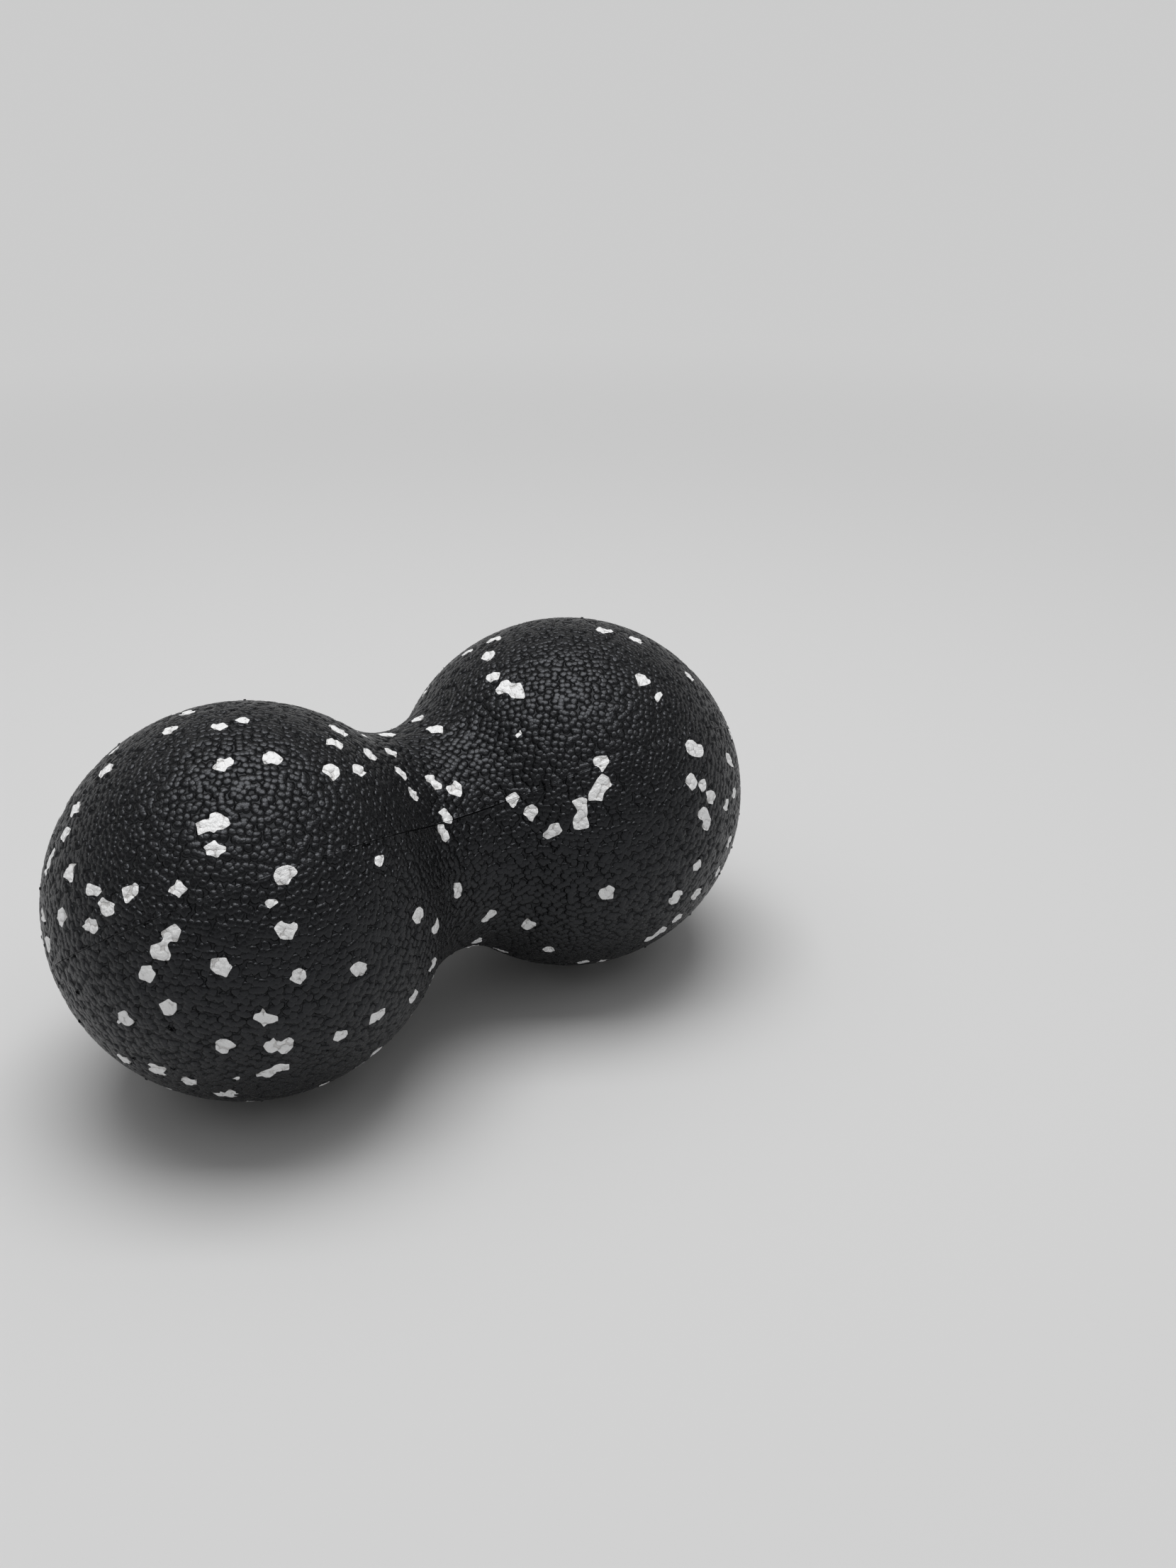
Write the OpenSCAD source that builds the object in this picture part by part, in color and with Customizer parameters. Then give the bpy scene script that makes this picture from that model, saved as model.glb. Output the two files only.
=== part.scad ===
// A peanut massage ball: two equal balls joined by a hollowed waist, moulded in one piece of bead foam.
// Millimetres. The long axis lies along X, the part rests on Z = 0, and +Z is up.
// The origin is on the floor, under the middle of the waist.

/* [Balls] */
// Diameter of each ball
ball_d = 80; // [60:0.5:130]
// Distance between the centres of the two balls
ball_spacing = 79.5; // [60:0.5:100]

/* [Waist] */
// Radius of the hollow curve that runs from one ball to the other
waist_curve_r = 20; // [12:0.5:40]

/* [Moulding line] */
// Width of the fine line that the mould halves leave right round the part
line_w = 0.4; // [0.2:0.05:1]
// Height of that line above the surface
line_h = 0.12; // [0.05:0.01:0.4]
// How far the line is turned about the long axis, up from level at the back
line_turn = 144; // [0:1:180]

/* [Hidden] */
$fn = 96;

ball_r = ball_d / 2;
half_spacing = ball_spacing / 2;
overall_length = ball_spacing + ball_d;

// The hollow curve's centre, level with the middle of the part and tangent to both balls
curve_reach = ball_r + waist_curve_r;
curve_centre = sqrt(curve_reach * curve_reach - half_spacing * half_spacing);
waist_r = curve_centre - waist_curve_r;

// Where a ball's surface, or one that stands proud of it, meets the hollow curve
function touch_out(proud) = curve_centre * (ball_r + proud) / curve_reach;
function touch_along(proud) = half_spacing * (1 - (ball_r + proud) / curve_reach);

// The whole outline, from the long axis outwards, with the long axis upright
module outline(proud) {
  intersection() {
    translate([0, -overall_length])
      square([ball_d, 2 * overall_length]);
    union() {
      for (side = [-1, 1])
        translate([0, side * half_spacing])
          circle(r = ball_r + proud);
      difference() {
        translate([0, -touch_along(proud)])
          square([touch_out(proud), 2 * touch_along(proud)]);
        translate([curve_centre, 0])
          circle(r = waist_curve_r - proud);
      }
    }
  }
}

// The outline turned about the long axis, then laid down on the floor
module turned_form(proud) {
  rotate([0, 90, 0])
    rotate_extrude()
      outline(proud);
}

// The thin slice in which the two mould halves meet
module parting_slice() {
  rotate([line_turn, 0, 0])
    cube([2 * overall_length, 2 * ball_d, line_w], center = true);
}

module peanut_ball() {
  color([0.045, 0.047, 0.052])
    translate([0, 0, ball_r])
      union() {
        turned_form(0);
        intersection() {
          turned_form(line_h);
          parting_slice();
        }
      }
}

peanut_ball();
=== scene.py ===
import math
import random

import bmesh
import bpy
import numpy as np
from mathutils import Matrix, Vector, kdtree
from mathutils.geometry import delaunay_2d_cdt


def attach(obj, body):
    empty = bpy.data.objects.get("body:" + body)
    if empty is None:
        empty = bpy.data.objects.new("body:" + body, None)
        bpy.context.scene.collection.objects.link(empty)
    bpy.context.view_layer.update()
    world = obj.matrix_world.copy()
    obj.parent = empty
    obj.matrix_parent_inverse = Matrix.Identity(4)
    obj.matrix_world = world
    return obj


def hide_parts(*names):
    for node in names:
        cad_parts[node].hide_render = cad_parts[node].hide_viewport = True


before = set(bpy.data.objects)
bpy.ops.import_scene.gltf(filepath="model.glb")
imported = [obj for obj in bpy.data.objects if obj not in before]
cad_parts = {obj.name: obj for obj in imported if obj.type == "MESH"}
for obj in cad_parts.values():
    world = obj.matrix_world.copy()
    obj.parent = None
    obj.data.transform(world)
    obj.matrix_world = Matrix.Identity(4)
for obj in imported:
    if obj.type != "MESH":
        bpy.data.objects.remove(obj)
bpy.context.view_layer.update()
print("frame loaded")

mm = 0.001


# Camera, fitted to the outlines of the balls in the photograph
cameraSettings = {
    "place": (-140.72, -243.94, 190.77),
    "right": (0.7935, -0.6086, -0.0026),
    "up": (0.2700, 0.3482, 0.8977),
    "back": (-0.5455, -0.7130, 0.4406),
    "focalPixels": 2067.0,
    "imageWide": 1659.0,
    "imageHigh": 2212.0,
    "sensorLongSide": 36.0,
    "nearClip": 0.01,
    "farClip": 50.0,
}


def makeCamera(settings):
    data = bpy.data.cameras.new("photoCamera")
    data.sensor_width = settings["sensorLongSide"]
    data.lens = settings["focalPixels"] / settings["imageHigh"] * settings["sensorLongSide"]
    data.clip_start = settings["nearClip"]
    data.clip_end = settings["farClip"]
    camera = bpy.data.objects.new("photoCamera", data)
    bpy.context.collection.objects.link(camera)
    axes = Matrix((settings["right"], settings["up"], settings["back"])).transposed()
    camera.matrix_world = Matrix.Translation(Vector(settings["place"]) * mm) @ axes.to_4x4()
    bpy.context.scene.camera = camera


makeCamera(cameraSettings)
print("camera placed")


# The plain form that carries the pebbled skin, the same sizes as the solid, in millimetres
form = {
    "ballRadius": 40.0,
    "halfSpacing": 39.75,
    "waistCurve": 20.0,
    "axisHeight": 40.0,
}
ballRadius = form["ballRadius"]
halfSpacing = form["halfSpacing"]
waistCurve = form["waistCurve"]
axisHeight = form["axisHeight"]
curveReach = ballRadius + waistCurve
curveCentre = math.sqrt(curveReach ** 2 - halfSpacing ** 2)
touchAlong = halfSpacing * (1 - ballRadius / curveReach)
ballTouchAngle = math.acos(-halfSpacing / curveReach)
waistTouchAngle = math.asin(halfSpacing / curveReach)
waistStretch = waistCurve / math.sqrt(curveCentre ** 2 - waistCurve ** 2)
waistRatio = math.sqrt((curveCentre + waistCurve) / (curveCentre - waistCurve))
waistReach = 2 * waistStretch * math.atan(waistRatio * math.tan(waistTouchAngle / 2))


# The skin is unrolled onto a flat sheet that keeps every angle: one end of the part is the middle of the
# sheet, the waist is the circle of radius 1, and the other end lies far out
def sheetToSkin(sheet):
    out = np.log(np.maximum(np.abs(sheet), 1e-12))
    side = np.where(out < 0, -1.0, 1.0)
    reach = np.abs(out)
    waist = 2 * np.arctan(np.tan(np.minimum(reach, waistReach) / (2 * waistStretch)) / waistRatio)
    polar = 2 * np.arctan(math.tan(ballTouchAngle / 2) * np.exp(waistReach - np.maximum(reach, waistReach)))
    onWaist = reach < waistReach
    along = side * np.where(onWaist, waistCurve * np.sin(waist), halfSpacing + ballRadius * np.cos(polar))
    radius = np.where(onWaist, curveCentre - waistCurve * np.cos(waist), ballRadius * np.sin(polar))
    outAlong = side * np.where(onWaist, -np.sin(waist), np.cos(polar))
    outRadial = np.where(onWaist, np.cos(waist), np.sin(polar))
    turn = np.angle(sheet)
    points = np.stack([along, radius * np.cos(turn), axisHeight + radius * np.sin(turn)], axis=-1)
    normals = np.stack([outAlong, outRadial * np.cos(turn), outRadial * np.sin(turn)], axis=-1)
    return points, normals


# How far out a point lies on the sheet, as a logarithm, from its angle on the waist's curve or on a ball
def sheetReach(onWaist, waist, polar):
    waistOut = 2 * waistStretch * np.arctan(waistRatio * np.tan(waist / 2))
    ballOut = waistReach + np.log(math.tan(ballTouchAngle / 2) / np.tan(polar / 2))
    return np.where(onWaist, waistOut, ballOut)


def skinToSheet(points):
    along = points[..., 0]
    across = points[..., 1]
    height = points[..., 2] - axisHeight
    radius = np.hypot(across, height)
    waist = np.arctan2(np.abs(along), np.maximum(curveCentre - radius, 1e-9))
    polar = np.maximum(np.arctan2(radius, np.abs(along) - halfSpacing), 1e-6)
    reach = sheetReach(np.abs(along) < touchAlong, waist, polar)
    return np.exp(np.where(along < 0, -reach, reach)) * np.exp(1j * np.arctan2(height, across))


def sheetScale(sheet):
    points, _ = sheetToSkin(sheet)
    return np.hypot(points[..., 1], points[..., 2] - axisHeight) / np.abs(sheet)


def bodyRadius(along):
    along = np.abs(along)
    onWaist = along < touchAlong
    waist = curveCentre - np.sqrt(np.maximum(waistCurve ** 2 - np.where(onWaist, along, 0.0) ** 2, 0.0))
    ball = np.sqrt(np.maximum(ballRadius ** 2 - (along - halfSpacing) ** 2, 0.0))
    return np.where(onWaist, waist, ball)


cameraPlace, cameraRight, cameraUp, cameraBack = (
    np.array(cameraSettings[name]) for name in ("place", "right", "up", "back")
)
focalPixels = cameraSettings["focalPixels"]
middleX = cameraSettings["imageWide"] / 2
middleY = cameraSettings["imageHigh"] / 2


# Direction of sight through a photograph pixel, of length 1
def sightLine(x, y):
    sideways = (x - middleX) / focalPixels
    upwards = (middleY - y) / focalPixels
    sight = -cameraBack + sideways * cameraRight + upwards * cameraUp
    return sight / np.linalg.norm(sight)


# The stretch in front of the camera that holds the skin, and how finely it is searched, in millimetres
sightReach = {"near": 200.0, "far": 460.0, "step": 0.02}


# Where that sight first meets the skin, or passes closest to it
def skinUnderPixel(x, y):
    steps = np.arange(sightReach["near"], sightReach["far"], sightReach["step"])
    path = cameraPlace + steps[:, None] * sightLine(x, y)
    room = np.hypot(path[:, 1], path[:, 2] - axisHeight) - bodyRadius(path[:, 0])
    hits = np.nonzero(room < 0)[0]
    return path[hits[0]] if len(hits) else path[int(np.argmin(room))]


# Pebbled skin in millimetres: how far apart the pebbles are, how wide, full and deep their domes are,
# and how many ran together
pebbles = {
    "pitch": 1.56,
    "wander": 0.54,
    "reach": 0.97,
    "fullness": 2.8,
    "depth": 0.42,
    "depthVariation": 0.20,
    "joinedShare": 0.06,
    "mostJoined": 3,
    "seed": 11,
}


# The waist's surface is added up in this many steps
waistSteps = 200


# Points in a spiral from one end of the part to the other, each with the same share of its surface
def pebbleCentres(settings):
    ballZone = 2 * math.pi * ballRadius ** 2 * (1 - math.cos(ballTouchAngle))
    angles = np.linspace(0.0, waistTouchAngle, waistSteps)
    waistZone = 2 * math.pi * waistCurve * (curveCentre * angles - waistCurve * np.sin(angles))
    halfArea = ballZone + waistZone[-1]
    count = int(2 * halfArea / (settings["pitch"] ** 2 * math.sqrt(3) / 2))
    order = np.arange(count) + 0.5
    area = order / count * 2 * halfArea
    near = np.minimum(area, 2 * halfArea - area)
    polar = np.arccos(1 - np.minimum(near, ballZone) / (2 * math.pi * ballRadius ** 2))
    waist = np.interp(halfArea - near, waistZone, angles)
    reach = sheetReach(near >= ballZone, waist, polar)
    turn = order * math.pi * (3 - math.sqrt(5))
    sheet = np.exp(np.where(area < halfArea, -reach, reach)) * np.exp(1j * turn)
    spread = np.random.default_rng(settings["seed"])
    shift = spread.uniform(-0.5, 0.5, count) + 1j * spread.uniform(-0.5, 0.5, count)
    return sheet + shift * settings["wander"] * settings["pitch"] / sheetScale(sheet)


# White beads as the photograph shows them, drawn round on enlarged parts of it: corner is the pixel
# at the upper left of that part, zoom is its enlargement, and the outlines are places in it
tracedBeads = {
    "frontTop": {"corner": (300, 980), "zoom": 6, "outlines": [
        [(183, 215), (235, 190), (280, 188), (315, 210), (300, 232), (260, 242), (215, 228)],
        [(432, 492), (480, 478), (525, 475), (545, 500), (600, 530), (590, 560), (555, 590), (500, 578),
         (440, 575), (418, 545)],
    ]},
    "frontUpper": {"corner": (130, 990), "zoom": 5, "outlines": [
        [(605, 95), (640, 70), (690, 55), (732, 60), (700, 78), (650, 92)],
        [(488, 212), (515, 185), (555, 168), (608, 168), (598, 190), (565, 205), (540, 228), (500, 228)],
        [(832, 175), (852, 150), (890, 152), (925, 145), (962, 170), (930, 188), (900, 202), (865, 190)],
        [(40, 525), (55, 480), (95, 455), (120, 430), (150, 440), (135, 465), (130, 485), (85, 508),
         (65, 538)],
        [(842, 462), (870, 430), (878, 405), (905, 395), (935, 405), (975, 388), (1000, 410), (995, 440),
         (955, 460), (935, 488), (890, 485)],
        [(725, 850), (790, 828), (825, 822), (830, 790), (875, 772), (915, 790), (960, 820), (975, 865),
         (930, 895), (880, 905), (860, 925), (830, 912), (800, 918), (745, 942), (738, 900)],
        [(782, 1025), (820, 1000), (862, 972), (890, 1005), (945, 1020), (940, 1055), (905, 1075),
         (885, 1100), (840, 1085), (805, 1080), (800, 1050)],
    ]},
    "frontLeft": {"corner": (40, 1120), "zoom": 5, "outlines": [
        [(362, 52), (360, 90), (345, 120), (320, 138), (303, 165), (292, 160), (295, 115), (315, 80),
         (340, 55)],
        [(270, 228), (298, 245), (285, 280), (262, 305), (245, 342), (228, 325), (222, 300), (240, 270)],
        [(170, 372), (188, 390), (182, 430), (160, 470), (150, 510), (128, 540), (125, 572), (102, 580),
         (100, 545), (115, 490), (135, 450), (150, 400)],
        [(280, 490), (325, 488), (320, 515), (305, 540), (318, 580), (305, 622), (290, 625), (270, 600),
         (240, 585), (245, 560), (265, 530)],
        [(405, 665), (412, 635), (430, 630), (465, 645), (505, 660), (508, 690), (485, 725), (455, 715),
         (410, 718), (402, 700)],
        [(485, 770), (520, 725), (555, 755), (608, 775), (600, 800), (600, 850), (545, 868), (515, 845),
         (495, 820), (500, 795)],
        [(655, 665), (700, 650), (750, 625), (770, 640), (775, 700), (735, 735), (700, 772), (680, 770),
         (665, 720)],
        [(398, 900), (420, 868), (445, 885), (475, 885), (480, 920), (490, 960), (460, 992), (425, 970),
         (390, 960), (375, 935), (392, 920)],
        [(238, 797), (252, 825), (260, 870), (248, 900), (235, 945), (215, 920), (192, 880), (205, 850),
         (205, 820), (225, 810)],
        [(92, 797), (108, 830), (115, 870), (118, 905), (85, 895), (78, 870), (85, 830)],
        [(120, 1003), (145, 1015), (155, 1060), (150, 1120), (135, 1120), (115, 1060), (108, 1020)],
    ]},
    "frontMiddle": {"corner": (200, 1130), "zoom": 5, "outlines": [
        [(240, 552), (270, 560), (290, 590), (325, 620), (300, 645), (275, 665), (262, 685), (240, 665),
         (215, 655), (182, 640), (195, 610), (225, 590)],
        [(130, 925), (165, 905), (195, 885), (232, 865), (275, 910), (270, 935), (258, 965), (240, 1000),
         (200, 990), (180, 1015), (190, 1050), (205, 1090), (190, 1125), (160, 1132), (110, 1122), (75, 1120),
         (52, 1070), (60, 1020), (95, 1010), (135, 995), (150, 970), (130, 950)],
    ]},
    "frontRight": {"corner": (360, 1190), "zoom": 5, "outlines": [
        [(128, 228), (140, 195), (150, 178), (190, 158), (235, 150), (275, 165), (302, 200), (285, 225),
         (262, 240), (240, 275), (235, 288), (195, 290), (165, 292), (140, 265)],
        [(865, 85), (905, 78), (910, 100), (905, 135), (892, 160), (875, 165), (850, 150), (842, 120),
         (850, 95)],
        [(65, 418), (85, 395), (130, 392), (150, 395), (165, 415), (130, 440), (105, 460), (85, 450)],
        [(132, 600), (155, 565), (185, 543), (205, 560), (245, 570), (275, 553), (300, 570), (300, 600),
         (275, 640), (262, 680), (200, 678), (175, 670), (150, 630)],
        [(262, 905), (310, 877), (355, 900), (362, 945), (340, 975), (320, 995), (285, 985), (240, 960),
         (260, 935)],
        [(668, 885), (700, 850), (735, 832), (790, 850), (785, 870), (800, 890), (780, 920), (745, 938),
         (715, 943), (680, 910)],
    ]},
    "frontLow": {"corner": (100, 1340), "zoom": 5, "outlines": [
        [(498, 113), (565, 112), (572, 140), (598, 170), (580, 210), (560, 237), (515, 220), (480, 205),
         (476, 168), (490, 140)],
        [(985, 65), (1037, 60), (1094, 55), (1112, 94), (1140, 122), (1115, 162), (1097, 197), (1062, 181),
         (1025, 172), (981, 137)],
        [(615, 385), (650, 368), (687, 345), (715, 368), (745, 382), (745, 430), (718, 462), (690, 472),
         (655, 460), (640, 425)],
        [(330, 445), (368, 430), (390, 440), (402, 470), (435, 495), (442, 520), (405, 545), (375, 530),
         (355, 512), (335, 525), (320, 512), (335, 480)],
        [(318, 742), (335, 735), (365, 760), (400, 780), (432, 800), (415, 808), (375, 800), (345, 778)],
        [(540, 805), (580, 790), (620, 808), (672, 830), (675, 845), (650, 868), (672, 890), (655, 902),
         (620, 905), (570, 880), (540, 860), (545, 845), (568, 832)],
        [(778, 912), (805, 908), (850, 918), (880, 930), (888, 955), (850, 960), (815, 952), (775, 930)],
    ]},
    "frontUnder": {"corner": (280, 1400), "zoom": 5, "outlines": [
        [(383, 190), (395, 155), (435, 145), (455, 122), (480, 150), (525, 160), (562, 175), (562, 205),
         (530, 215), (490, 225), (460, 245), (435, 215), (400, 200)],
        [(120, 350), (150, 335), (195, 332), (235, 350), (265, 375), (262, 395), (215, 415), (205, 435),
         (165, 435), (122, 410), (118, 380)],
        [(455, 385), (475, 355), (510, 345), (530, 322), (548, 345), (585, 350), (610, 332), (650, 322),
         (675, 340), (672, 385), (640, 420), (620, 438), (590, 440), (555, 412), (520, 430), (490, 428),
         (470, 405)],
        [(403, 600), (430, 575), (465, 545), (510, 530), (535, 505), (575, 490), (610, 500), (640, 500),
         (642, 550), (600, 568), (570, 560), (548, 562), (545, 582), (520, 600), (505, 615), (480, 618),
         (445, 605), (410, 608)],
        [(235, 622), (262, 598), (290, 595), (290, 615), (265, 628)],
        [(55, 712), (85, 720), (120, 708), (150, 708), (155, 690), (185, 702), (215, 690), (262, 688),
         (265, 705), (285, 712), (250, 722), (250, 735), (272, 742), (268, 752), (225, 758), (180, 752),
         (140, 745), (90, 735)],
        [(965, 300), (975, 278), (1010, 275), (1050, 268), (1055, 300), (1035, 322), (1005, 335), (985, 355),
         (948, 338)],
    ]},
    "frontUnderRight": {"corner": (430, 1400), "zoom": 5, "outlines": [
        [(470, 155), (500, 145), (530, 130), (570, 108), (568, 150), (520, 205), (485, 215), (455, 237)],
        [(458, 450), (490, 410), (555, 378), (545, 405), (500, 440), (465, 460)],
    ]},
    "waistTop": {"corner": (440, 980), "zoom": 6, "outlines": [
        [(140, 250), (195, 250), (225, 282), (275, 302), (312, 338), (285, 350), (235, 325), (185, 302),
         (165, 275)],
        [(125, 375), (175, 362), (215, 370), (232, 400), (268, 415), (265, 440), (248, 465), (200, 430),
         (150, 415), (128, 400)],
        [(105, 588), (170, 582), (232, 620), (238, 680), (190, 722), (150, 690), (85, 650)],
        [(345, 588), (405, 582), (435, 610), (440, 640), (465, 660), (420, 695), (385, 670), (348, 655)],
        [(435, 450), (480, 450), (515, 480), (530, 510), (560, 530), (540, 558), (510, 545), (470, 525),
         (450, 490)],
        [(558, 325), (600, 318), (660, 318), (715, 338), (690, 345), (640, 355), (580, 352)],
        [(612, 445), (660, 455), (720, 490), (722, 530), (690, 515), (640, 490)],
        [(698, 602), (740, 618), (790, 665), (808, 700), (798, 725), (755, 690), (710, 645)],
        [(818, 775), (845, 790), (862, 815), (885, 825), (890, 855), (908, 875), (895, 903), (860, 885),
         (835, 855), (820, 820)],
    ]},
    "waistRight": {"corner": (560, 980), "zoom": 6, "outlines": [
        [(120, 220), (150, 195), (220, 170), (225, 185), (210, 205), (130, 235)],
        [(238, 290), (270, 270), (345, 248), (390, 272), (385, 318), (340, 318), (295, 328), (265, 300)],
        [(232, 690), (270, 672), (315, 682), (330, 720), (380, 760), (382, 795), (325, 795), (300, 775),
         (285, 745), (250, 715)],
        [(490, 722), (545, 765), (552, 830), (540, 867), (490, 850), (445, 840), (412, 795), (420, 775),
         (465, 760)],
        [(345, 998), (400, 955), (435, 980), (445, 1010), (472, 1040), (465, 1092), (405, 1085), (385, 1050),
         (380, 1025)],
        [(342, 1100), (395, 1095), (405, 1130), (430, 1160), (448, 1215), (430, 1245), (395, 1240),
         (372, 1195), (362, 1160), (345, 1135)],
        [(1000, 345), (1020, 322), (1042, 298), (1058, 328), (1035, 352), (1018, 368)],
        [(918, 870), (960, 840), (1000, 822), (1042, 868), (1018, 905), (1008, 935), (985, 960), (965, 950),
         (950, 920), (928, 905)],
        [(1088, 950), (1145, 925), (1192, 960), (1195, 1000), (1160, 1040), (1150, 1075), (1120, 1068),
         (1100, 1035), (1065, 1010)],
    ]},
    "waistLow": {"corner": (450, 1250), "zoom": 5, "outlines": [
        [(955, -20), (1000, -25), (1010, 30), (1005, 70), (975, 90), (950, 80), (955, 40), (950, 15)],
        [(690, 155), (715, 145), (735, 165), (738, 210), (722, 240), (715, 265), (685, 268), (662, 225),
         (672, 190)],
        [(835, 220), (850, 250), (848, 290), (835, 330), (812, 342), (800, 325), (800, 292), (822, 270),
         (830, 240)],
        [(820, 500), (838, 515), (835, 550), (812, 585), (790, 608), (770, 602), (782, 575), (798, 550),
         (795, 525)],
        [(680, 725), (702, 745), (703, 770), (680, 805), (655, 832), (640, 825), (632, 795), (655, 775),
         (668, 750)],
    ]},
    "backTop": {"corner": (640, 870), "zoom": 5, "outlines": [
        [(225, 180), (255, 150), (290, 138), (330, 132), (335, 155), (320, 172), (290, 160), (250, 185)],
        [(52, 270), (80, 245), (105, 228), (130, 222), (135, 238), (105, 250), (80, 268), (60, 278)],
        [(190, 295), (205, 262), (232, 242), (280, 238), (292, 252), (280, 280), (255, 300), (225, 302)],
        [(225, 440), (232, 412), (265, 398), (285, 387), (328, 393), (322, 420), (315, 442), (285, 448),
         (262, 460)],
        [(288, 515), (318, 485), (330, 455), (380, 440), (408, 470), (470, 462), (490, 505), (503, 570),
         (408, 572), (385, 540), (345, 530), (315, 550)],
        [(998, 88), (1025, 68), (1060, 78), (1080, 92), (1110, 85), (1130, 105), (1090, 112), (1050, 118),
         (1030, 100)],
    ]},
    "backMiddle": {"corner": (690, 1060), "zoom": 5, "outlines": [
        [(732, 62), (745, 38), (790, 30), (835, 28), (850, 72), (825, 110), (798, 150), (778, 115),
         (740, 95)],
        [(798, 154), (850, 185), (868, 240), (830, 270), (808, 300), (800, 352), (750, 345), (700, 350),
         (700, 300), (735, 240), (765, 190)],
        [(580, 352), (650, 322), (692, 335), (690, 375), (695, 430), (690, 460), (708, 520), (700, 542),
         (640, 555), (598, 550), (590, 500), (597, 465), (625, 425), (605, 385)],
        [(380, 580), (410, 555), (430, 515), (490, 502), (500, 530), (518, 560), (490, 590), (450, 605),
         (410, 622), (378, 605)],
        [(768, 1005), (785, 975), (820, 965), (845, 942), (890, 968), (878, 1005), (875, 1040), (830, 1048),
         (795, 1045), (780, 1025)],
    ]},
    "backUpperRight": {"corner": (850, 860), "zoom": 5, "outlines": [
        [(228, 460), (250, 445), (300, 462), (315, 485), (335, 492), (342, 515), (300, 535), (255, 530),
         (242, 495)],
        [(365, 620), (380, 590), (410, 577), (425, 600), (412, 620), (395, 650), (378, 640)],
        [(585, 950), (605, 915), (640, 920), (665, 945), (700, 950), (720, 975), (712, 1030), (690, 1042),
         (640, 1035), (600, 1005), (592, 975)],
    ]},
    "backRight": {"corner": (880, 1030), "zoom": 5, "outlines": [
        [(440, 335), (475, 298), (505, 320), (522, 365), (510, 405), (485, 430), (460, 400), (442, 370)],
        [(525, 380), (545, 350), (572, 342), (583, 380), (580, 415), (560, 440), (545, 425), (532, 400)],
        [(580, 435), (615, 422), (640, 435), (652, 465), (640, 500), (630, 525), (600, 515), (588, 470)],
        [(530, 580), (560, 540), (598, 548), (600, 590), (618, 630), (610, 680), (595, 712), (565, 705),
         (560, 640), (532, 625)],
        [(722, 485), (740, 485), (742, 520), (735, 568), (715, 570), (702, 550), (712, 530), (722, 510)],
        [(710, 155), (745, 165), (780, 200), (790, 260), (750, 250), (715, 220)],
        [(490, 995), (492, 950), (520, 930), (540, 910), (550, 940), (545, 970), (525, 992)],
        [(645, 1030), (655, 985), (685, 958), (682, 995), (665, 1025), (650, 1038)],
    ]},
    "backLow": {"corner": (640, 1220), "zoom": 5, "outlines": [
        [(192, 400), (225, 360), (262, 318), (300, 325), (305, 340), (270, 375), (245, 400), (205, 408)],
        [(475, 435), (490, 405), (520, 390), (550, 402), (582, 410), (578, 438), (545, 455), (515, 462),
         (485, 450)],
        [(622, 598), (655, 578), (695, 582), (715, 610), (690, 622), (650, 618)],
        [(862, 692), (900, 680), (940, 668), (962, 685), (935, 702), (880, 706)],
        [(120, 550), (155, 530), (190, 512), (208, 520), (200, 548), (165, 560), (135, 562)],
        [(270, 590), (310, 588), (350, 608), (388, 620), (370, 628), (320, 612)],
    ]},
    "backLowRight": {"corner": (860, 1180), "zoom": 5, "outlines": [
        [(415, 455), (440, 430), (455, 400), (480, 382), (515, 385), (518, 415), (490, 440), (480, 470),
         (430, 487)],
        [(575, 430), (595, 405), (620, 370), (650, 368), (648, 400), (620, 420), (610, 445), (585, 452)],
        [(442, 600), (465, 565), (490, 548), (518, 550), (505, 580), (475, 605), (445, 615)],
        [(243, 745), (265, 715), (310, 700), (350, 655), (375, 635), (412, 648), (395, 675), (350, 695),
         (310, 725), (265, 748)],
    ]},
}
# Near the part's own outline the view says little of a bead's length, so it is held near the width
slantedView = {"facing": 0.5, "mostStretch": 1.3, "mostLength": 4.4}

# Beads cut by that outline: the pixel where each is seen, and its width in millimetres
edgeBeads = [
    (160, 1059, 2.6), (395, 989, 3.0), (237, 1537, 1.6), (356, 1554, 2.6), (506, 1504, 3.4),
    (586, 1432, 2.6), (614, 1386, 2.6), (472, 1014, 3.4), (604, 967, 3.0), (600, 975, 2.6),
    (1029, 1188, 2.8), (1036, 1119, 2.6),
]

# How much of each edge is cut away at an outline's corners
cornerCut = 0.14

# The rest of the beads are scattered over what the photograph doesn't show, about as thickly
scatteredBeads = {
    "areaEach": 118.0,
    "cellShare": 0.866,
    "wander": 1.5,
    "smallest": 2.3,
    "largest": 3.9,
    "apart": 4.4,
    "pairShare": 0.16,
    "pairReach": 0.84,
    "smallestTwin": 0.8,
    "largestTwin": 1.05,
    "pairSlant": [0.3, 0.5, 0.8],
    "seed": 5,
}
beadOutlines = {
    "corners": (5, 5, 6, 6, 6, 7),
    "cornerJitter": 0.24,
    "reachJitter": 0.17,
    "leastPull": -0.06,
    "mostPull": 0.13,
    "leastShare": 0.4,
    "mostShare": 0.6,
    "slant": [0.31, 0.52, 0.79],
    "seed": 23,
}

# What the photograph shows of the skin: how much it must face the camera, how near it must be to the first
# skin under its pixel, and the circles of pixels within which it is hidden
seenSkin = {"leastFacing": 0.12, "mostMiss": 3.0, "hidden": [(1071, 713, 276), (1298, 1174, 262)]}


def pixelOf(point):
    offset = point - cameraPlace
    depth = -offset @ cameraBack
    sideways = offset @ cameraRight / depth
    upwards = offset @ cameraUp / depth
    return middleX + sideways * focalPixels, middleY - upwards * focalPixels


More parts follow.
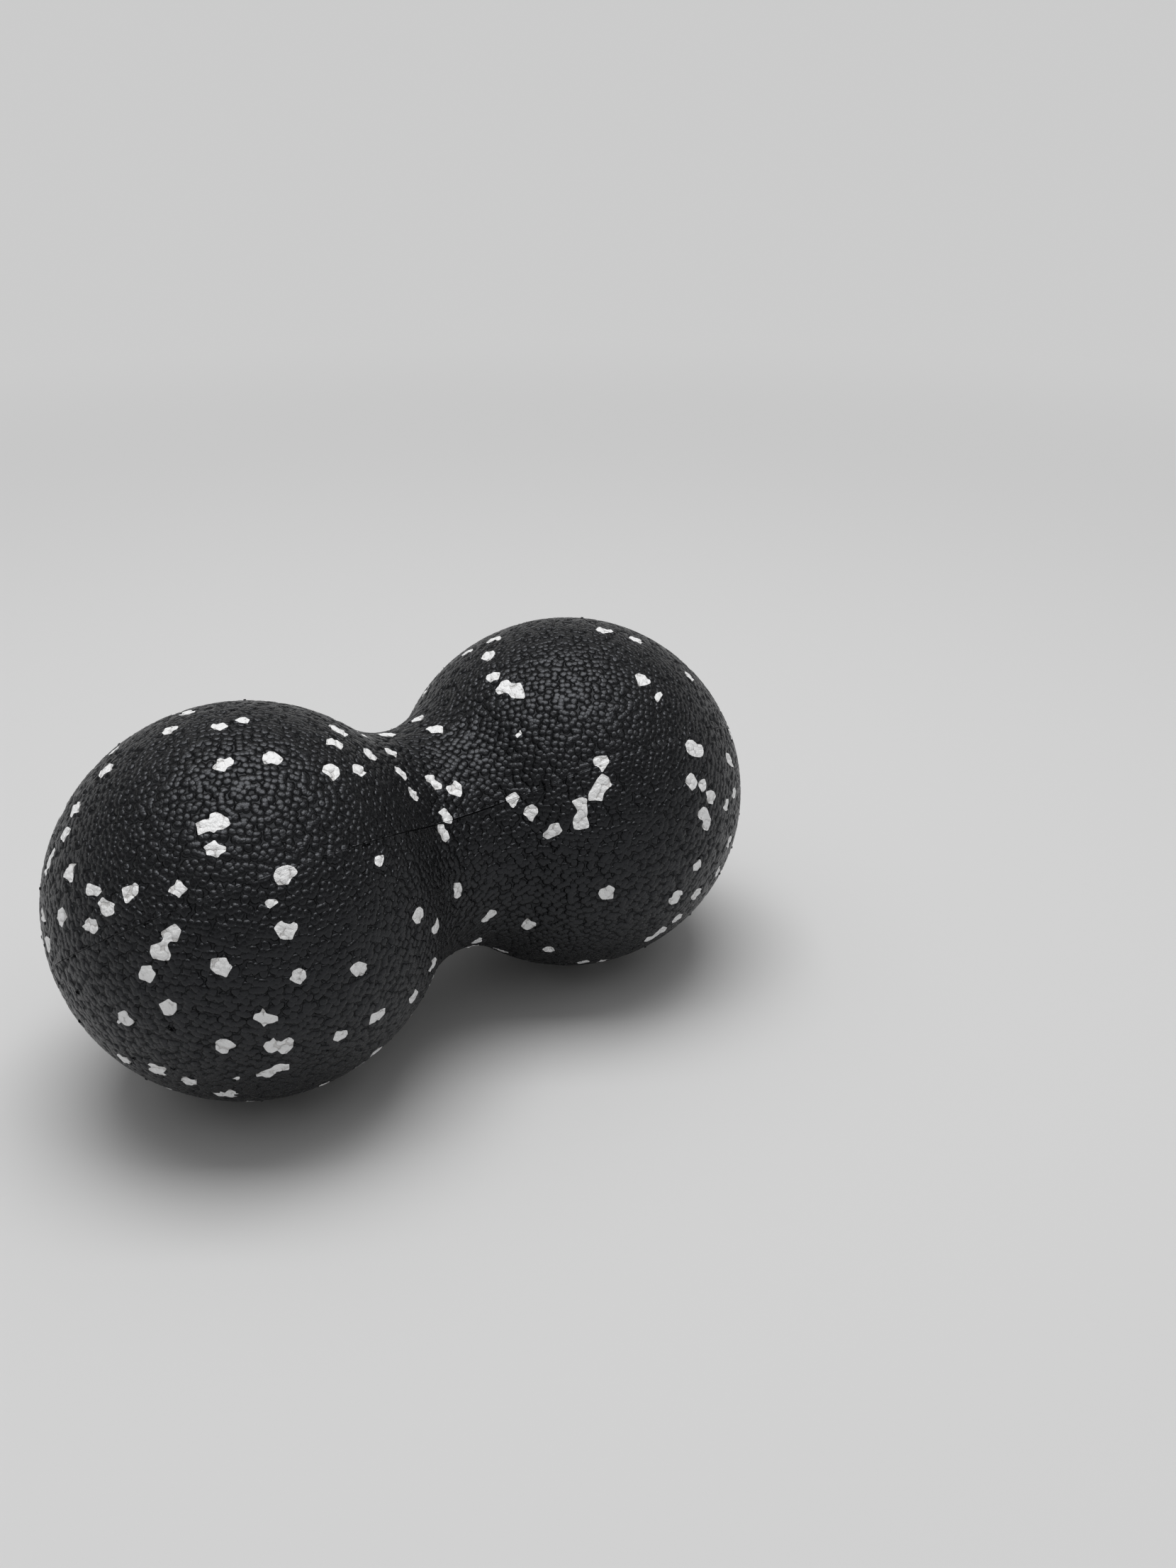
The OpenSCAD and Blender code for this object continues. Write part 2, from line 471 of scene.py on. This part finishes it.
def photographShows(point, normal):
    toCamera = cameraPlace - point
    if normal @ (toCamera / np.linalg.norm(toCamera)) < seenSkin["leastFacing"]:
        return False
    x, y = pixelOf(point)
    if np.linalg.norm(skinUnderPixel(x, y) - point) > seenSkin["mostMiss"]:
        return False
    return all(math.hypot(x - across, y - down) > radius for across, down, radius in seenSkin["hidden"])


# A bead's outline as its neighbours press it: corners, and edges between them that bend a little in or out
def beadShape(settings, spread):
    corners = spread.choice(settings["corners"])
    start = spread.uniform(0, 2 * math.pi)
    tips = []
    for index in range(corners):
        turn = start + (index + spread.uniform(-1, 1) * settings["cornerJitter"]) * 2 * math.pi / corners
        reach = 1 + spread.uniform(-1, 1) * settings["reachJitter"]
        tips.append(reach * complex(math.cos(turn), math.sin(turn)))
    rim = []
    for first, second in zip(tips, tips[1:] + tips[:1]):
        pull = spread.uniform(settings["leastPull"], settings["mostPull"])
        share = spread.uniform(settings["leastShare"], settings["mostShare"])
        rim.append(first)
        rim.append((first * share + second * (1 - share)) * (1 - pull))
    rim = np.array(rim)
    wide = rim.real.max() - rim.real.min()
    high = rim.imag.max() - rim.imag.min()
    return (rim.real - rim.real.min() - wide / 2) / wide + 1j * (rim.imag - rim.imag.min() - high / 2) / high


# Two directions along the skin, square to each other
def skinAxes(normal, slant):
    side = np.cross(normal, slant)
    side = side / np.linalg.norm(side)
    return side, np.cross(normal, side)


def normalAt(point):
    _, normals = sheetToSkin(skinToSheet(point[None]))
    return normals[0]


def outlineOnSkin(point, width, shape):
    side, across = skinAxes(normalAt(point), beadOutlines["slant"])
    return skinToSheet(point + width * (shape.real[:, None] * side + shape.imag[:, None] * across))


# The corners are found on the flat that touches the skin under the bead's middle
def tracedOutline(part, corners):
    pixels = np.array(part["corner"]) + np.array(corners) / part["zoom"]
    middle = skinUnderPixel(*pixels.mean(axis=0))
    normal = normalAt(middle)
    sights = np.array([sightLine(x, y) for x, y in pixels])
    reach = ((middle - cameraPlace) @ normal) / (sights @ normal)
    spots = cameraPlace + reach[:, None] * sights - middle
    sight = (middle - cameraPlace) / np.linalg.norm(middle - cameraPlace)
    away = sight - normal * (sight @ normal)
    away = away / np.linalg.norm(away)
    side = np.cross(normal, away)
    length = spots @ away
    width = spots @ side
    longest = min(slantedView["mostStretch"] * np.ptp(width), slantedView["mostLength"])
    if -sight @ normal < slantedView["facing"] and np.ptp(length) > longest:
        length = length * longest / np.ptp(length)
    return middle, skinToSheet(middle + length[:, None] * away + width[:, None] * side)


def roundCorners(rim):
    after = np.roll(rim, -1)
    return np.stack([rim + (after - rim) * cornerCut, after + (rim - after) * cornerCut], axis=1).ravel()


def placeBeads(settings):
    shapeSpread = random.Random(beadOutlines["seed"])
    outlines = []
    taken = []
    for part in tracedBeads.values():
        for corners in part["outlines"]:
            middle, outline = tracedOutline(part, corners)
            outlines.append(outline)
            taken.append(middle)
    for x, y, width in edgeBeads:
        point = skinUnderPixel(x, y)
        outlines.append(outlineOnSkin(point, width, beadShape(beadOutlines, shapeSpread)))
        taken.append(point)
    spread = random.Random(settings["seed"])
    pitch = math.sqrt(settings["areaEach"] / settings["cellShare"])
    points, normals = sheetToSkin(pebbleCentres({**settings, "pitch": pitch}))
    for point, normal in zip(points, normals):
        width = spread.uniform(settings["smallest"], settings["largest"])
        if photographShows(point, normal):
            continue
        if min(np.linalg.norm(point - other) for other in taken) < settings["apart"]:
            continue
        outlines.append(outlineOnSkin(point, width, beadShape(beadOutlines, shapeSpread)))
        taken.append(point)
        if spread.random() < settings["pairShare"]:
            side, across = skinAxes(normal, settings["pairSlant"])
            turn = spread.uniform(0, 2 * math.pi)
            heading = math.cos(turn) * side + math.sin(turn) * across
            twin = point + settings["pairReach"] * width * heading
            twinWidth = width * spread.uniform(settings["smallestTwin"], settings["largestTwin"])
            outlines.append(outlineOnSkin(twin, twinWidth, beadShape(beadOutlines, shapeSpread)))
    return outlines


# Moulding line: two hair-fine ridges with a groove between them, right round the part and faint in places.
# Heights and strength go with the offsets from its middle, and it runs from start to end, out on the sheet
mouldLine = {
    "turn": 144.0,
    "offsets": [0.0, 0.15, 0.34],
    "heights": [-0.12, 0.09, -0.10],
    "strength": [1.0, 1.0, 0.0],
    "faintest": 0.10,
    "fadeLength": 14.0,
    "fadeStart": 2.14,
    "fadeShare": 0.4,
    "rippleLength": 2.9,
    "rippleShare": 0.1,
    "start": -6.6,
    "end": 5.72,
    "fineStep": 0.01,
    "step": 0.8,
}
lineTurn = math.radians(mouldLine["turn"])

# Tiny plugs of foam that stood in the mould's vents
vents = {
    "radius": 0.36,
    "topRadius": 0.24,
    "height": 0.20,
    "sides": 6,
    "seen": [
        (140, 1342), (83, 1387), (108, 1400), (112, 1441), (241, 1454), (189, 1494), (243, 1508),
        (282, 1547), (367, 1548), (436, 1535), (462, 1482), (576, 1006), (577, 1019), (552, 1028),
    ],
    "spacing": 11.0,
    "leastSpacing": 0.6,
    "patternSpacing": 1.15,
    "wander": 0.5,
    "bandHalfWidth": 20.0,
    "inset": 0.98,
    "seed": 3,
}


def placeVents(settings):
    spots = [skinUnderPixel(x, y) for x, y in settings["seen"]]
    level = np.array([0.0, math.cos(lineTurn), math.sin(lineTurn)])
    pitch = settings["spacing"] * settings["patternSpacing"]
    points, normals = sheetToSkin(pebbleCentres({**settings, "pitch": pitch}))
    for point, normal in zip(points, normals):
        offset = (point - np.array([0.0, 0.0, axisHeight])) @ level
        if abs(offset) > settings["bandHalfWidth"]:
            continue
        if photographShows(point, normal):
            continue
        apart = min(np.linalg.norm(point - other) for other in spots)
        if apart > settings["leastSpacing"] * settings["spacing"]:
            spots.append(point)
    return np.array(spots)


# The moulding line and the vents press the pebbles away: how strongly, and to what height
def pressLineAndVents(points, ventSpots):
    gap = np.abs(-math.sin(lineTurn) * points[:, 1] + math.cos(lineTurn) * (points[:, 2] - axisHeight))
    along = points[:, 0]
    wave = 0.5 + mouldLine["fadeShare"] * np.sin(along / mouldLine["fadeLength"] + mouldLine["fadeStart"])
    wave = wave + mouldLine["rippleShare"] * np.sin(along / mouldLine["rippleLength"])
    fade = mouldLine["faintest"] + (1 - mouldLine["faintest"]) * wave
    press = np.interp(gap, mouldLine["offsets"], mouldLine["strength"]) * fade
    rise = np.interp(gap, mouldLine["offsets"], mouldLine["heights"])
    for spot in ventSpots:
        distance = np.linalg.norm(points - spot, axis=1)
        near = distance < vents["radius"]
        press[near] = np.interp(distance, [vents["topRadius"], vents["radius"]], [1.0, 0.0])[near]
        rise[near] = vents["height"]
    return press, rise


def insideOutline(spots, rim):
    inside = np.zeros(len(spots), bool)
    for first, second in zip(rim, np.roll(rim, -1)):
        rise = second.imag - first.imag
        if rise:
            across = first.real + (spots.imag - first.imag) * (second.real - first.real) / rise
            level = (first.imag > spots.imag) != (second.imag > spots.imag)
            inside ^= level & (spots.real < across)
    return inside


# Faces of the flat mesh whose middles lie inside a bead's outline
def whiteFaces(spots, faces, outlines):
    middles = spots[np.array(faces)].mean(axis=1)
    white = np.zeros(len(faces), bool)
    for rim in outlines:
        near = (middles.real > rim.real.min()) & (middles.real < rim.real.max())
        near &= (middles.imag > rim.imag.min()) & (middles.imag < rim.imag.max())
        picked = np.nonzero(near)[0]
        white[picked] |= insideOutline(middles[picked], rim)
    return white


# Points of the sheet joined into flat triangles, which keep the edges given
def joinFlat(spots, edges):
    return delaunay_2d_cdt([Vector((spot.real, spot.imag)) for spot in spots], edges, [], 0, 1e-12)


# The pattern on the flat sheet: middles of the pebbles, corners where grooves meet, and the edges to keep
def pebblePattern():
    spread = random.Random(pebbles["seed"] + 1)
    centres = pebbleCentres(pebbles)
    count = len(centres)
    flat = joinFlat(centres, [])
    triangles = [tuple(flat[3][corner][0] for corner in face) for face in flat[2]]
    tops, _ = sheetToSkin(centres)
    corners = skinToSheet(tops[np.array(triangles)].mean(axis=1))
    edgeFaces = {}
    for index, triangle in enumerate(triangles):
        for first, second in zip(triangle, triangle[1:] + triangle[:1]):
            edgeFaces.setdefault((min(first, second), max(first, second)), []).append(index)
    family = {index: [index] for index in range(count)}
    edges = []
    joints = []
    for (first, second), faces in edgeFaces.items():
        apart = family[first] is not family[second]
        small = len(family[first]) + len(family[second]) <= pebbles["mostJoined"]
        if apart and small and spread.random() < pebbles["joinedShare"]:
            family[first].extend(family[second])
            for member in family[second]:
                family[member] = family[first]
            edges.append((first, second))
            joints.append((tops[first] + tops[second]) / 2)
        elif len(faces) == 2:
            edges.append((count + faces[0], count + faces[1]))
    print("pebbles:", count, "run together:", len(joints))
    return list(centres) + list(corners), edges, np.vstack([tops, joints])


# Rows of points along the moulding line, one for each of its offsets on either side
def lineRows():
    reach = np.arange(mouldLine["start"], mouldLine["end"], mouldLine["fineStep"])
    rows = []
    for offset in mouldLine["offsets"] + [-offset for offset in mouldLine["offsets"][1:]]:
        for heading in (lineTurn, lineTurn + math.pi):
            row = np.exp(reach + 1j * heading)
            row = row + 1j * offset * np.exp(1j * heading) / sheetScale(row)
            spots, _ = sheetToSkin(row)
            travel = np.concatenate([[0], np.cumsum(np.linalg.norm(np.diff(spots, axis=0), axis=1))])
            stops = np.append(np.arange(0, travel[-1], mouldLine["step"]), travel[-1])
            picks = np.searchsorted(travel, stops)
            rows.append(row[np.unique(np.clip(picks, 0, len(row) - 1))])
    return rows


def makeSkin():
    sheet, edges, domes = pebblePattern()
    for row in lineRows():
        edges.extend((len(sheet) + index, len(sheet) + index + 1) for index in range(len(row) - 1))
        sheet.extend(row)
    ventSpots = placeVents(vents)
    homes = skinToSheet(ventSpots)
    for home, scale in zip(homes, sheetScale(homes)):
        sheet.append(home)
        for radius in (vents["topRadius"], vents["radius"]):
            ring = radius * vents["inset"] * np.exp(2j * math.pi * np.arange(vents["sides"]) / vents["sides"])
            sheet.extend(home + ring / scale)
    outlines = [roundCorners(rim) for rim in placeBeads(scatteredBeads)]
    for rim in outlines:
        edges.extend((len(sheet) + index, len(sheet) + (index + 1) % len(rim)) for index in range(len(rim)))
        sheet.extend(rim)
    print("vents:", len(ventSpots), "white beads:", len(outlines))

    flat = joinFlat(sheet, edges)
    spots = np.array([complex(*spot) for spot in flat[0]])
    faces = [tuple(face) for face in flat[2]]
    white = whiteFaces(spots, faces, outlines)
    # The sheet's rim closes on one more point, at the far end of the part
    used = {}
    for face in faces:
        for first, second in zip(face, face[1:] + face[:1]):
            key = (min(first, second), max(first, second))
            used[key] = used.get(key, 0) + 1
    outermost = [key for key, count in used.items() if count == 1]
    faces.extend((first, second, len(spots)) for first, second in outermost)
    white = np.concatenate([white, np.zeros(len(outermost), bool)])
    points, normals = sheetToSkin(spots)
    points = np.vstack([points, [halfSpacing + ballRadius, 0.0, axisHeight]])
    normals = np.vstack([normals, [1.0, 0.0, 0.0]])
    domes = np.vstack([domes, points[-1]])

    tree = kdtree.KDTree(len(domes))
    for index, dome in enumerate(domes):
        tree.insert(dome, index)
    tree.balance()
    distance = np.array([tree.find(point)[2] for point in points])
    dome = np.sqrt(np.maximum(1 - (distance / pebbles["reach"]) ** pebbles["fullness"], 0.0))
    spread = np.random.default_rng(pebbles["seed"])
    depth = pebbles["depth"] * (1 + spread.uniform(-1, 1, len(points)) * pebbles["depthVariation"])
    press, rise = pressLineAndVents(points, ventSpots)
    heights = rise * press - depth * (1 - dome) * (1 - press)
    middles = points[np.array(faces)].mean(axis=1)
    nearest = np.array([[hit[1] for hit in tree.find_n(middle, 3)] for middle in middles])
    return {
        "points": (points + normals * heights[:, None]) * mm,
        "faces": faces,
        "white": white,
        "press": press,
        "pressRise": rise,
        "pebbles": domes[nearest] * mm,
    }


def makeBall(blackFoam, whiteFoam):
    skin = makeSkin()
    bm = bmesh.new()
    verts = [bm.verts.new(point) for point in skin["points"]]
    for face, isWhite in zip(skin["faces"], skin["white"]):
        made = bm.faces.new([verts[index] for index in face])
        made.smooth = True
        made.material_index = 1 if isWhite else 0
    bmesh.ops.recalc_face_normals(bm, faces=bm.faces)
    openEdges = sum(1 for edge in bm.edges if len(edge.link_faces) != 2)
    print("faces:", len(bm.faces), "open edges:", openEdges, "inside out:", bm.calc_volume(signed=True) < 0)
    mesh = bpy.data.meshes.new("peanut_ball_skin")
    bm.to_mesh(mesh)
    bm.free()
    # Each face carries the three pebble middles nearest to it, for the foam's materials
    for index, name in enumerate(("pebbleA", "pebbleB", "pebbleC")):
        layer = mesh.attributes.new(name, "FLOAT_VECTOR", "FACE")
        layer.data.foreach_set("vector", skin["pebbles"][:, index].ravel())
    for name in ("press", "pressRise"):
        layer = mesh.attributes.new(name, "FLOAT", "POINT")
        layer.data.foreach_set("value", skin[name])
    mesh.materials.append(blackFoam)
    mesh.materials.append(whiteFoam)
    ball = bpy.data.objects.new("peanut_ball_skin", mesh)
    bpy.context.collection.objects.link(ball)
    return ball


# Finishes of the two foams, and the grain that they share
foamFinish = {
    "black": {
        "colour": (0.0025, 0.0025, 0.0028, 1.0),
        # groove: painted shade for the hollows between the pebbles
        "groove": (0.0014, 0.0014, 0.0016, 1.0),
        "roughLow": 0.23,
        "roughHigh": 0.35,
        "domeHeight": 0.58,
        "fineScale": 1900.0,
        "fineHeight": 0.110,
    },
    "white": {
        "colour": (0.88, 0.88, 0.88, 1.0),
        # groove: painted shade for the hollows between the pebbles
        "groove": (0.72, 0.71, 0.70, 1.0),
        "roughLow": 0.32,
        "roughHigh": 0.46,
        "domeHeight": 0.30,
        "fineScale": 1050.0,
        "fineHeight": 0.480,
    },
    "grooveRoughness": 0.55,
    "grooveDome": (0.30, 0.68),
    "specular": 0.40,
    "specularTint": (0.90, 0.93, 1.0, 1.0),
    "waveScale": 620.0,
    "waviness": 0.00045,
    "waveDetail": 1.0,
    "fineDetail": 3.0,
    "fineRoughness": 0.6,
    "fineRange": (0.30, 0.70),
}


# Adds a node and feeds its inputs, each from a plain value or from another node's output
def addNode(tree, kind, feeds, **choices):
    node = tree.nodes.new("ShaderNode" + kind)
    for name, choice in choices.items():
        setattr(node, name, choice)
    for name, feed in feeds.items():
        if isinstance(feed, bpy.types.NodeSocket):
            tree.links.new(feed, node.inputs[name])
        else:
            node.inputs[name].default_value = feed
    return node


def addMath(tree, operation, *feeds, clamp=False):
    node = addNode(tree, "Math", dict(enumerate(feeds)), operation=operation, use_clamp=clamp)
    return node.outputs["Value"]


# Grain of the moulded foam, with painted shade in the grooves between its pebbles, shared by both colours of
# bead
def foamGrainGroup():
    group = bpy.data.node_groups.new("foamGrain", "ShaderNodeTree")
    sockets = group.interface
    for name in ("Top Colour", "Painted Groove Shade"):
        sockets.new_socket(name=name, in_out="INPUT", socket_type="NodeSocketColor")
    for name in ("Roughness Low", "Roughness High", "Groove Roughness", "Wave Scale", "Waviness",
                 "Dome Reach", "Dome Fullness", "Dome Height", "Fine Scale", "Fine Height"):
        sockets.new_socket(name=name, in_out="INPUT", socket_type="NodeSocketFloat")
    sockets.new_socket(name="Colour", in_out="OUTPUT", socket_type="NodeSocketColor")
    for name in ("Roughness", "Height"):
        sockets.new_socket(name=name, in_out="OUTPUT", socket_type="NodeSocketFloat")
    given = addNode(group, "TexCoord", {}).outputs["Object"]
    inputs = group.nodes.new("NodeGroupInput").outputs
    results = group.nodes.new("NodeGroupOutput").inputs

    # Let the pebbles' edges wander a little
    waveFeeds = {"Vector": given, "Scale": inputs["Wave Scale"], "Detail": foamFinish["waveDetail"]}
    wave = addNode(group, "TexNoise", waveFeeds).outputs["Color"]
    level = addNode(group, "VectorMath", {0: wave, 1: (0.5, 0.5, 0.5)}, operation="SUBTRACT")
    swayFeeds = {0: level.outputs["Vector"], "Scale": inputs["Waviness"]}
    sway = addNode(group, "VectorMath", swayFeeds, operation="SCALE")
    swayed = addNode(group, "VectorMath", {0: given, 1: sway.outputs["Vector"]}, operation="ADD")

    # Distance to the nearest pebble middle, and from it a round dome
    distances = []
    for name in ("pebbleA", "pebbleB", "pebbleC"):
        middle = addNode(group, "Attribute", {}, attribute_name=name)
        feeds = {0: swayed.outputs["Vector"], 1: middle.outputs["Vector"]}
        distances.append(addNode(group, "VectorMath", feeds, operation="DISTANCE").outputs["Value"])
    nearest = addMath(group, "MINIMUM", addMath(group, "MINIMUM", *distances[:2]), distances[2])
    share = addMath(group, "DIVIDE", nearest, inputs["Dome Reach"])
    curved = addMath(group, "POWER", share, inputs["Dome Fullness"])
    dome = addMath(group, "SQRT", addMath(group, "SUBTRACT", 1.0, curved, clamp=True))
    sunk = addMath(group, "MULTIPLY", addMath(group, "SUBTRACT", dome, 1.0), inputs["Dome Height"])

    # The moulding line and the vents take the pebbles' place
    press = addNode(group, "Attribute", {}, attribute_name="press").outputs["Fac"]
    rise = addNode(group, "Attribute", {}, attribute_name="pressRise").outputs["Fac"]
    pressed = addNode(group, "Mix", {0: press, 2: sunk, 3: rise}).outputs[0]

    # Fine bumps over all of it
    fineFeeds = {
        "Vector": given,
        "Scale": inputs["Fine Scale"],
        "Detail": foamFinish["fineDetail"],
        "Roughness": foamFinish["fineRoughness"],
    }
    fine = addNode(group, "TexNoise", fineFeeds).outputs["Fac"]
    height = addMath(group, "MULTIPLY_ADD", fine, inputs["Fine Height"], pressed)
    group.links.new(height, results["Height"])

    # Grooves are duller than the tops, and their colour is darker: painted shade
    top = addMath(group, "MAXIMUM", dome, press)
    low, high = foamFinish["grooveDome"]
    grooveFeeds = {"Value": top, "From Min": low, "From Max": high}
    # Where the painted groove shade falls: 0 deep in a groove, 1 on a top
    groove = addNode(group, "MapRange", grooveFeeds, interpolation_type="SMOOTHSTEP").outputs["Result"]
    colourFeeds = {0: groove, 6: inputs["Painted Groove Shade"], 7: inputs["Top Colour"]}
    colour = addNode(group, "Mix", colourFeeds, data_type="RGBA").outputs[2]
    group.links.new(colour, results["Colour"])
    low, high = foamFinish["fineRange"]
    roughFeeds = {
        "Value": fine,
        "From Min": low,
        "From Max": high,
        "To Min": inputs["Roughness Low"],
        "To Max": inputs["Roughness High"],
    }
    rough = addNode(group, "MapRange", roughFeeds).outputs["Result"]
    duller = addNode(group, "Mix", {0: groove, 2: inputs["Groove Roughness"], 3: rough}).outputs[0]
    group.links.new(duller, results["Roughness"])
    return group


def foamMaterial(name, settings, group):
    material = bpy.data.materials.new(name)
    material.use_nodes = True
    tree = material.node_tree
    grainFeeds = {
        "Top Colour": settings["colour"],
        "Painted Groove Shade": settings["groove"],
        "Roughness Low": settings["roughLow"],
        "Roughness High": settings["roughHigh"],
        "Groove Roughness": foamFinish["grooveRoughness"],
        "Wave Scale": foamFinish["waveScale"],
        "Waviness": foamFinish["waviness"],
        "Dome Reach": pebbles["reach"] * mm,
        "Dome Fullness": pebbles["fullness"],
        "Dome Height": settings["domeHeight"],
        "Fine Scale": settings["fineScale"],
        "Fine Height": settings["fineHeight"],
    }
    grain = addNode(tree, "Group", grainFeeds, node_tree=group)
    bump = addNode(tree, "Bump", {"Strength": 1.0, "Distance": mm, "Height": grain.outputs["Height"]})
    shader = tree.nodes["Principled BSDF"]
    shader.inputs["Specular IOR Level"].default_value = foamFinish["specular"]
    shader.inputs["Specular Tint"].default_value = foamFinish["specularTint"]
    tree.links.new(grain.outputs["Colour"], shader.inputs["Base Color"])
    tree.links.new(grain.outputs["Roughness"], shader.inputs["Roughness"])
    tree.links.new(bump.outputs["Normal"], shader.inputs["Normal"])
    return material


grainGroup = foamGrainGroup()
blackFoam = foamMaterial("blackBeadFoam", foamFinish["black"], grainGroup)
whiteFoam = foamMaterial("whiteBeadFoam", foamFinish["white"], grainGroup)
ball = makeBall(blackFoam, whiteFoam)
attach(ball, "root")
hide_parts("peanut_ball")
print("ball made")


# Plain pale floor, which is seen at one plain level far from the part
floorSettings = {
    "halfWidth": 6.0,
    "colour": (0.64, 0.64, 0.64, 1.0),
    "farColour": (0.60, 0.60, 0.60, 1.0),
    "farSpan": (0.20, 0.90),
    "roughness": 0.9,
    "specular": 0.1,
}


def makeFloor(settings):
    bm = bmesh.new()
    bmesh.ops.create_grid(bm, x_segments=2, y_segments=2, size=settings["halfWidth"])
    mesh = bpy.data.meshes.new("floor")
    bm.to_mesh(mesh)
    bm.free()
    floor = bpy.data.objects.new("floor", mesh)
    bpy.context.collection.objects.link(floor)
    material = bpy.data.materials.new("paleFloor")
    material.use_nodes = True
    tree = material.node_tree
    shader = tree.nodes["Principled BSDF"]
    shader.inputs["Base Color"].default_value = settings["colour"]
    shader.inputs["Roughness"].default_value = settings["roughness"]
    shader.inputs["Specular IOR Level"].default_value = settings["specular"]
    glow = addNode(tree, "Emission", {"Color": settings["farColour"]})
    place = addNode(tree, "TexCoord", {}).outputs["Object"]
    length = addNode(tree, "VectorMath", {0: place}, operation="LENGTH").outputs["Value"]
    near, beyond = settings["farSpan"]
    farFeeds = {"Value": length, "From Min": near, "From Max": beyond}
    far = addNode(tree, "MapRange", farFeeds, interpolation_type="SMOOTHSTEP").outputs["Result"]
    rays = addNode(tree, "LightPath", {}).outputs
    seen = addMath(tree, "ADD", rays["Is Camera Ray"], rays["Is Glossy Ray"], clamp=True)
    shown = addMath(tree, "ADD", seen, rays["Is Transmission Ray"], clamp=True)
    mask = addMath(tree, "MULTIPLY", shown, far)
    mix = addNode(tree, "MixShader", {0: mask, 1: shader.outputs["BSDF"], 2: glow.outputs["Emission"]})
    tree.links.new(mix.outputs["Shader"], tree.nodes["Material Output"].inputs["Surface"])
    mesh.materials.append(material)


makeFloor(floorSettings)


# Soft studio light: one panel high above, in a room that is pale low down, dim over that and pale overhead.
# Each room strength goes with the height of a direction, from -1 straight down to 1 straight up
lightSettings = {
    "roomStrengths": [(-0.20, 0.60), (0.23, 0.60), (0.29, 0.06), (0.48, 0.06), (0.76, 0.60)],
    "panel": {"place": (0.03, 0.06, 1.12), "aimHeight": 0.04, "long": 0.84, "deep": 0.64, "power": 8.6},
}


def makePanel(settings):
    data = bpy.data.lights.new("panel", "AREA")
    data.shape = "RECTANGLE"
    data.size = settings["long"]
    data.size_y = settings["deep"]
    data.energy = settings["power"]
    panel = bpy.data.objects.new("panel", data)
    bpy.context.collection.objects.link(panel)
    away = (Vector(settings["place"]) - Vector((0, 0, settings["aimHeight"]))).normalized()
    side = Vector(cameraSettings["right"])
    side = (side - away * side.dot(away)).normalized()
    turned = Matrix((side, away.cross(side), away)).transposed().to_4x4()
    panel.matrix_world = Matrix.Translation(Vector(settings["place"])) @ turned


def makeRoom(settings):
    world = bpy.data.worlds.new("studio")
    bpy.context.scene.world = world
    world.use_nodes = True
    tree = world.node_tree
    direction = addNode(tree, "TexCoord", {}).outputs["Generated"]
    split = addNode(tree, "SeparateXYZ", {"Vector": direction})
    lower = addNode(tree, "MapRange", {"Value": split.outputs["Z"], "From Min": -1.0, "From Max": 1.0})
    strength = addNode(tree, "FloatCurve", {"Value": lower.outputs["Result"]})
    curve = strength.mapping.curves[0]
    curve.points[0].location = (0.0, settings["roomStrengths"][0][1])
    curve.points[1].location = (1.0, settings["roomStrengths"][-1][1])
    for height, level in settings["roomStrengths"]:
        point = curve.points.new(height * 0.5 + 0.5, level)
        point.handle_type = "VECTOR"
    strength.mapping.update()
    lit = tree.nodes["Background"]
    lit.inputs["Color"].default_value = (1.0, 1.0, 1.0, 1.0)
    tree.links.new(strength.outputs["Value"], lit.inputs["Strength"])


makePanel(lightSettings["panel"])
makeRoom(lightSettings)
bpy.context.scene.view_settings.view_transform = "Standard"
print("floor and lights made")
